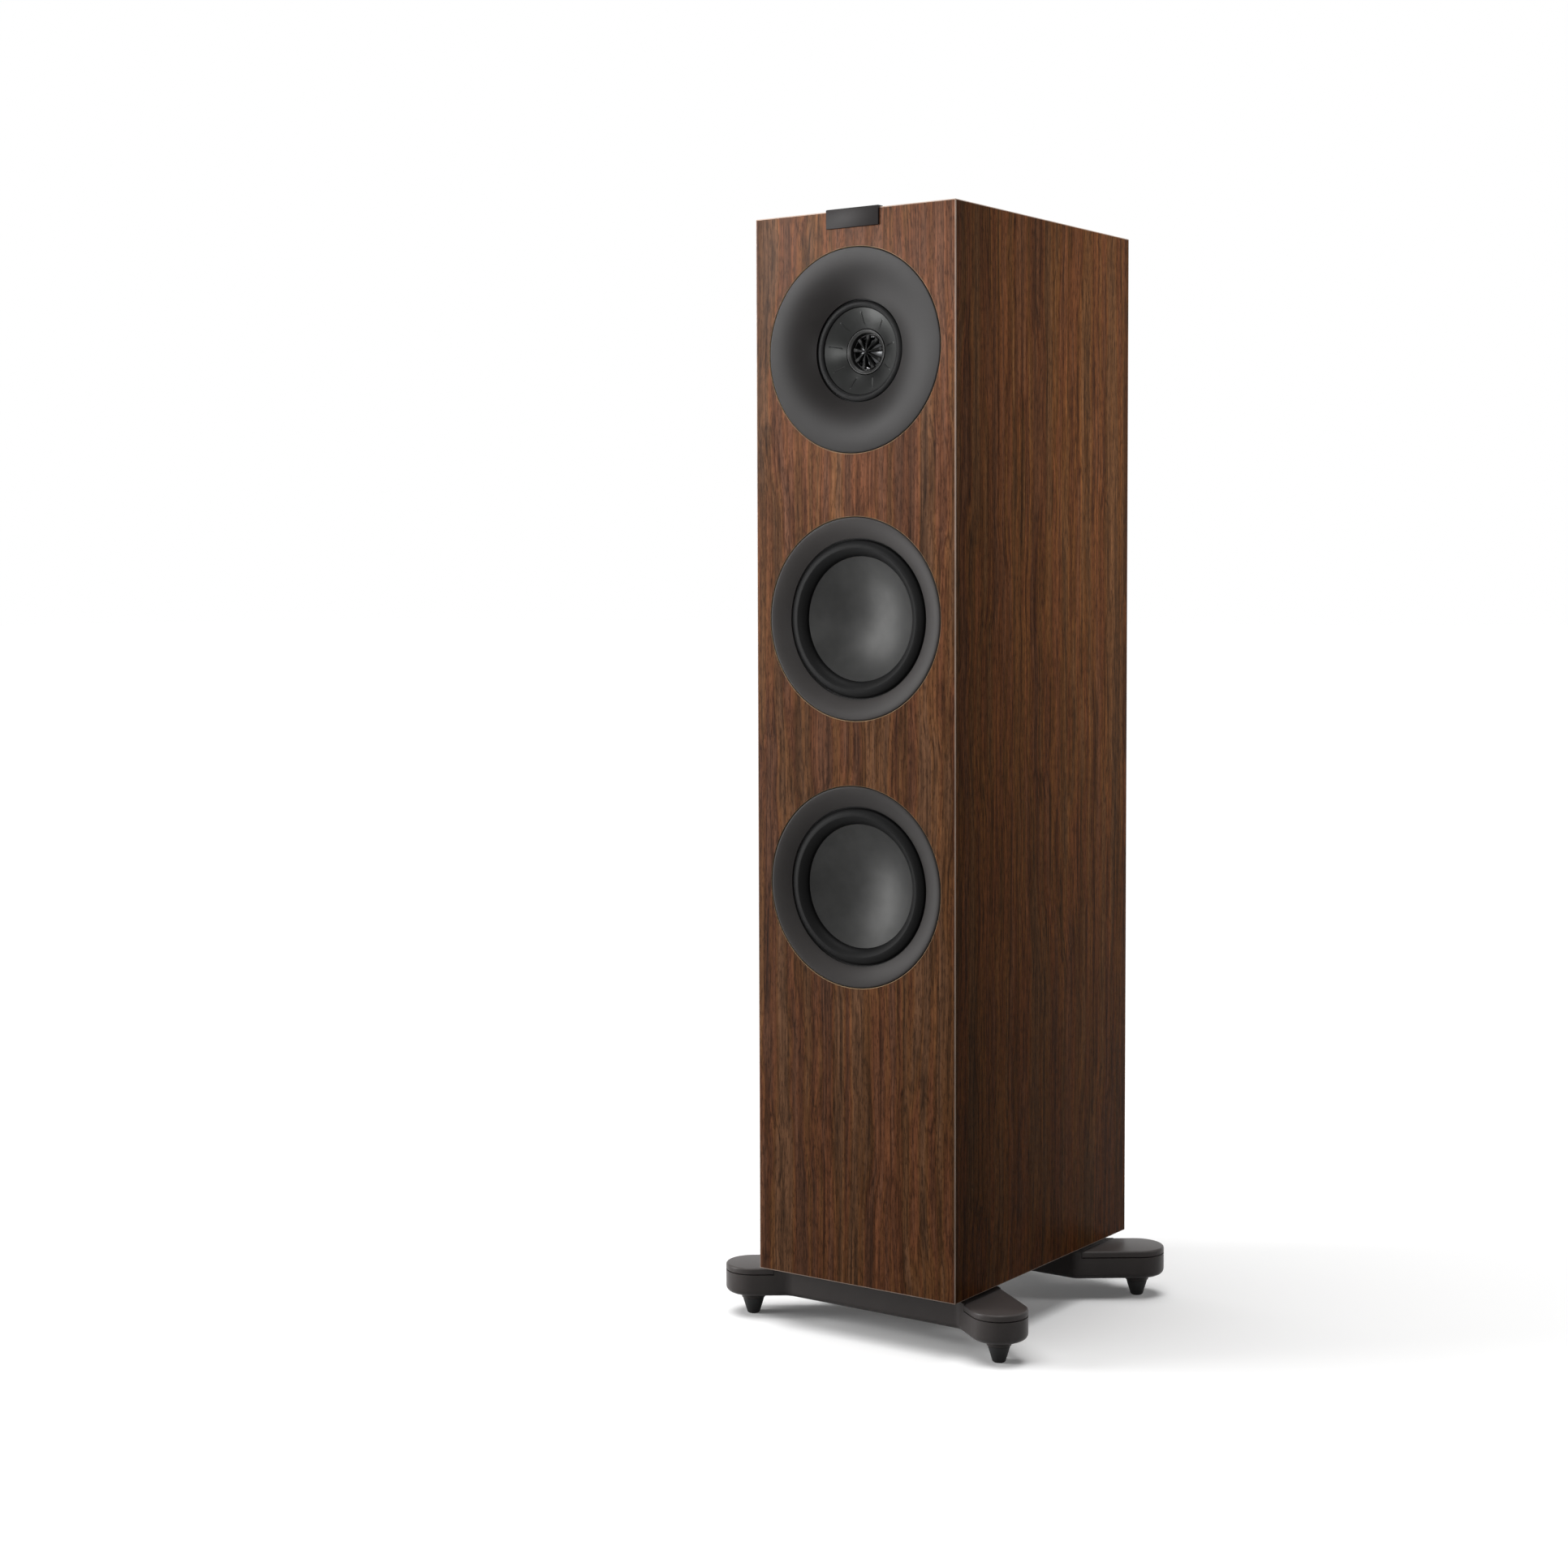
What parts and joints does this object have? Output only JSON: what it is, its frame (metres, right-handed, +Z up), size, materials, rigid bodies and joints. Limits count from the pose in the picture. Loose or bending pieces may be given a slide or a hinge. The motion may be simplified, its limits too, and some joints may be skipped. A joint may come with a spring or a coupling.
{
  "type": "floorstanding speaker",
  "caption": "Tall wood-grain tower loudspeaker with a coaxial midrange and tweeter driver above concave-cone bass drivers, standing on splayed cast outrigger bars with adjustable feet.",
  "frame": {"origin": "on the floor under the centre of the cabinet", "axes": "+Z up, the front baffle faces -Y, +X is the viewer's right when facing the front"},
  "size_m": [0.316, 0.3178, 1.0061],
  "materials": {
    "walnut": "satin walnut-grain wrap",
    "raw_board": "raw fibreboard",
    "satin_plastic": "fine satin, warm dark grey",
    "badge_plastic": "satin dark grey, bare",
    "black_plastic": "satin black",
    "cone_metal": "satin dark grey anodised",
    "midrange_metal": "satin dark grey",
    "surround_rubber": "soft satin black",
    "spider_cloth": "woven, resin stiffened",
    "dome_metal": "bright",
    "steel": "turned",
    "ferrite": "matt grey ferrite",
    "cast_metal": "satin powder coat, warm dark grey",
    "brass": "gold plated",
    "red_plastic": "gloss red",
    "circuit_board": "green board with dark parts",
    "wire": "black insulation",
    "wadding": "fibrous white",
    "foot_rubber": "matt black"
  },
  "bodies": {
    "root": {"front_baffle": "walnut", "left_side_panel": "walnut", "right_side_panel": "walnut", "bottom_panel": "walnut", "top_panel": "walnut", "back_panel": "walnut", "chamber_shelf": "raw_board", "upper_brace": "raw_board", "lower_brace": "raw_board", "badge_plate": "badge_plastic", "coax_trim_flare": "satin_plastic", "coax_chassis": "black_plastic", "midrange_surround": "surround_rubber", "midrange_spider": "spider_cloth", "tweeter_waveguide": "satin_plastic", "phase_plug": "black_plastic", "tweeter_motor": "steel", "midrange_front_plate": "steel", "midrange_magnet": "ferrite", "midrange_yoke": "steel", "upper_bass_trim_ring": "satin_plastic", "upper_bass_chassis": "black_plastic", "upper_bass_surround": "surround_rubber", "upper_bass_spider": "spider_cloth", "upper_bass_front_plate": "steel", "upper_bass_magnet": "ferrite", "upper_bass_yoke": "steel", "lower_bass_trim_ring": "satin_plastic", "lower_bass_chassis": "black_plastic", "lower_bass_surround": "surround_rubber", "lower_bass_spider": "spider_cloth", "lower_bass_front_plate": "steel", "lower_bass_magnet": "ferrite", "lower_bass_yoke": "steel", "upper_port_tube": "black_plastic", "lower_port_tube": "black_plastic", "terminal_cup": "black_plastic", "positive_binding_post": "brass", "negative_binding_post": "brass", "crossover_board": "circuit_board", "wiring_loom": "wire", "chamber_wadding": "wadding", "front_outrigger": "cast_metal", "rear_outrigger": "cast_metal", "front_left_arm_cap": "cast_metal", "front_right_arm_cap": "cast_metal", "rear_left_arm_cap": "cast_metal", "rear_right_arm_cap": "cast_metal"},
    "upper_bass_cone": {"upper_bass_cone": "cone_metal"},
    "lower_bass_cone": {"lower_bass_cone": "cone_metal"},
    "midrange_cone": {"midrange_cone": "midrange_metal"},
    "tweeter_dome": {"tweeter_dome": "dome_metal"},
    "positive_clamp_collar": {"positive_clamp_collar": "brass"},
    "positive_knob": {"positive_knob": "red_plastic"},
    "negative_clamp_collar": {"negative_clamp_collar": "brass"},
    "negative_knob": {"negative_knob": "black_plastic"},
    "front_left_foot": {"front_left_foot": "foot_rubber"},
    "front_right_foot": {"front_right_foot": "foot_rubber"},
    "rear_left_foot": {"rear_left_foot": "foot_rubber"},
    "rear_right_foot": {"rear_right_foot": "foot_rubber"}
  },
  "joints": [
    {"name": "upper_bass_travel", "type": "slide", "parent": "root", "child": "upper_bass_cone", "axis": [0, -1, 0], "range_m": [-0.005, 0.005], "stiffness_N_per_m": 1200, "deforming": ["upper_bass_surround", "upper_bass_spider"]},
    {"name": "lower_bass_travel", "type": "slide", "parent": "root", "child": "lower_bass_cone", "axis": [0, -1, 0], "range_m": [-0.005, 0.005], "stiffness_N_per_m": 1200, "deforming": ["lower_bass_surround", "lower_bass_spider"]},
    {"name": "midrange_travel", "type": "slide", "parent": "root", "child": "midrange_cone", "axis": [0, -1, 0], "range_m": [-0.0015, 0.0015], "stiffness_N_per_m": 1500, "deforming": ["midrange_surround", "midrange_spider"]},
    {"name": "tweeter_travel", "type": "slide", "parent": "root", "child": "tweeter_dome", "axis": [0, -1, 0], "range_m": [-0.0003, 0.0003], "stiffness_N_per_m": 800},
    {"name": "positive_collar_travel", "type": "slide", "parent": "root", "child": "positive_clamp_collar", "axis": [0, 1, 0], "range_m": [0, 0.005]},
    {"name": "positive_knob_turn", "type": "hinge", "parent": "positive_clamp_collar", "child": "positive_knob", "pos_m": [-0.019, 0.1413, 0.17011], "axis": [0, 1, 0], "range_deg": [0, 1800]},
    {"name": "negative_collar_travel", "type": "slide", "parent": "root", "child": "negative_clamp_collar", "axis": [0, 1, 0], "range_m": [0, 0.005]},
    {"name": "negative_knob_turn", "type": "hinge", "parent": "negative_clamp_collar", "child": "negative_knob", "pos_m": [0.019, 0.1413, 0.17011], "axis": [0, 1, 0], "range_deg": [0, 1800]},
    {"name": "front_left_foot_height", "type": "slide", "parent": "root", "child": "front_left_foot", "axis": [0, 0, -1], "range_m": [0, 0.008]},
    {"name": "front_right_foot_height", "type": "slide", "parent": "root", "child": "front_right_foot", "axis": [0, 0, -1], "range_m": [0, 0.008]},
    {"name": "rear_left_foot_height", "type": "slide", "parent": "root", "child": "rear_left_foot", "axis": [0, 0, -1], "range_m": [0, 0.008]},
    {"name": "rear_right_foot_height", "type": "slide", "parent": "root", "child": "rear_right_foot", "axis": [0, 0, -1], "range_m": [0, 0.008]}
  ],
  "couplings": [
    {"joint": "positive_knob_turn", "follows": "positive_collar_travel", "rad_per_m": 6283.2},
    {"joint": "negative_knob_turn", "follows": "negative_collar_travel", "rad_per_m": 6283.2}
  ]
}
